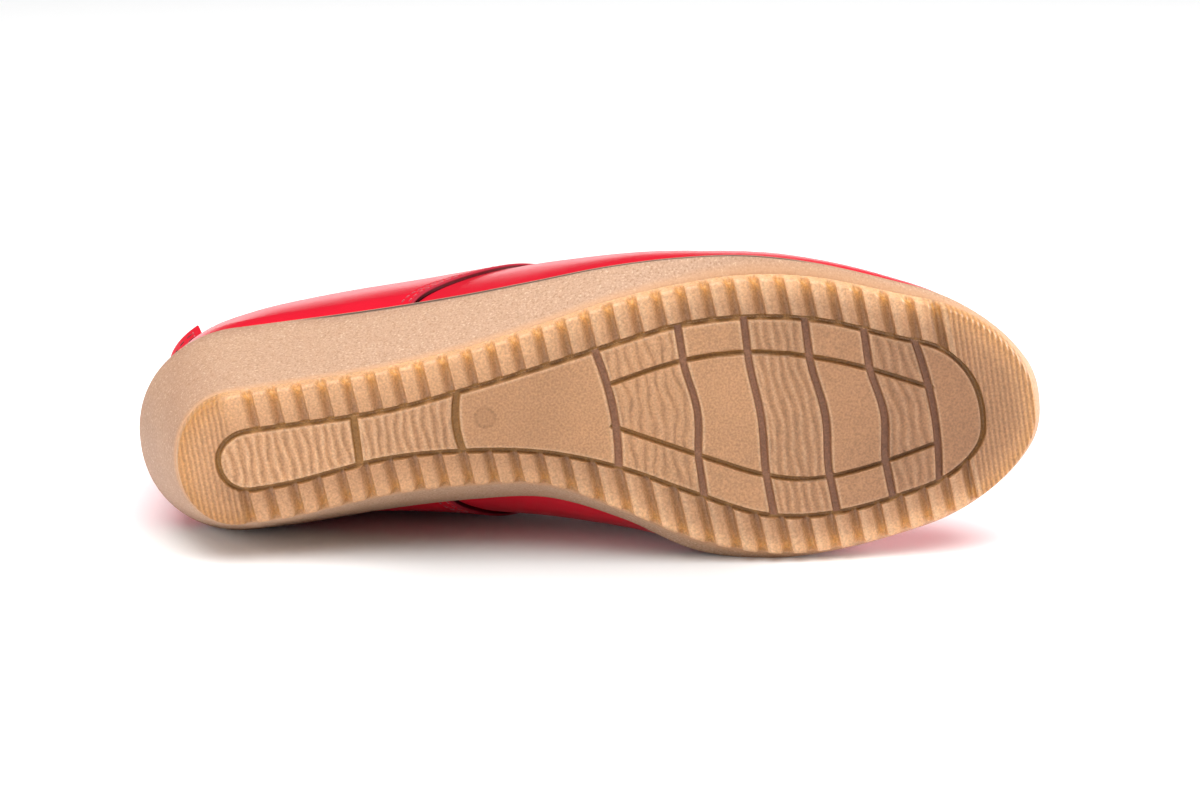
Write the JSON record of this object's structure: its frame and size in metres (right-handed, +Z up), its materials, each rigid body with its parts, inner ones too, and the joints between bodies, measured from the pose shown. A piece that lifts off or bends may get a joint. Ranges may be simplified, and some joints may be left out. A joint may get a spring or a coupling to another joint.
{
  "type": "lace-up ankle shoe",
  "caption": "Women's red leather lace-up ankle shoe with a honey rubber wedge sole and ribbed, grooved tread, empty and lying on its inner side, right foot.",
  "frame": {"origin": "centre of the box's bottom face, on the floor under the shoe as it lies on its inner side", "axes": "+X from heel to toe, +Y from the tread to the collar, +Z up from the floor, through the outer side"},
  "size_m": [0.2566, 0.1228, 0.0877],
  "materials": {
    "tread_rubber": "satin",
    "wedge_rubber": "matte",
    "sock_leather": "matte",
    "red_leather": "gloss",
    "lace_cotton": "matte",
    "eyelet_metal": "gloss"
  },
  "bodies": {
    "root": {"outsole": "tread_rubber", "wedge_midsole": "wedge_rubber", "insole": "sock_leather", "upper": "red_leather", "heel_strap": "red_leather", "tongue": "red_leather", "lace": "lace_cotton", "eyelet_lateral_1": "eyelet_metal", "eyelet_lateral_2": "eyelet_metal", "eyelet_lateral_3": "eyelet_metal", "eyelet_lateral_4": "eyelet_metal", "eyelet_lateral_5": "eyelet_metal", "eyelet_medial_1": "eyelet_metal", "eyelet_medial_2": "eyelet_metal", "eyelet_medial_3": "eyelet_metal", "eyelet_medial_4": "eyelet_metal", "eyelet_medial_5": "eyelet_metal"}
  },
  "joints": []
}
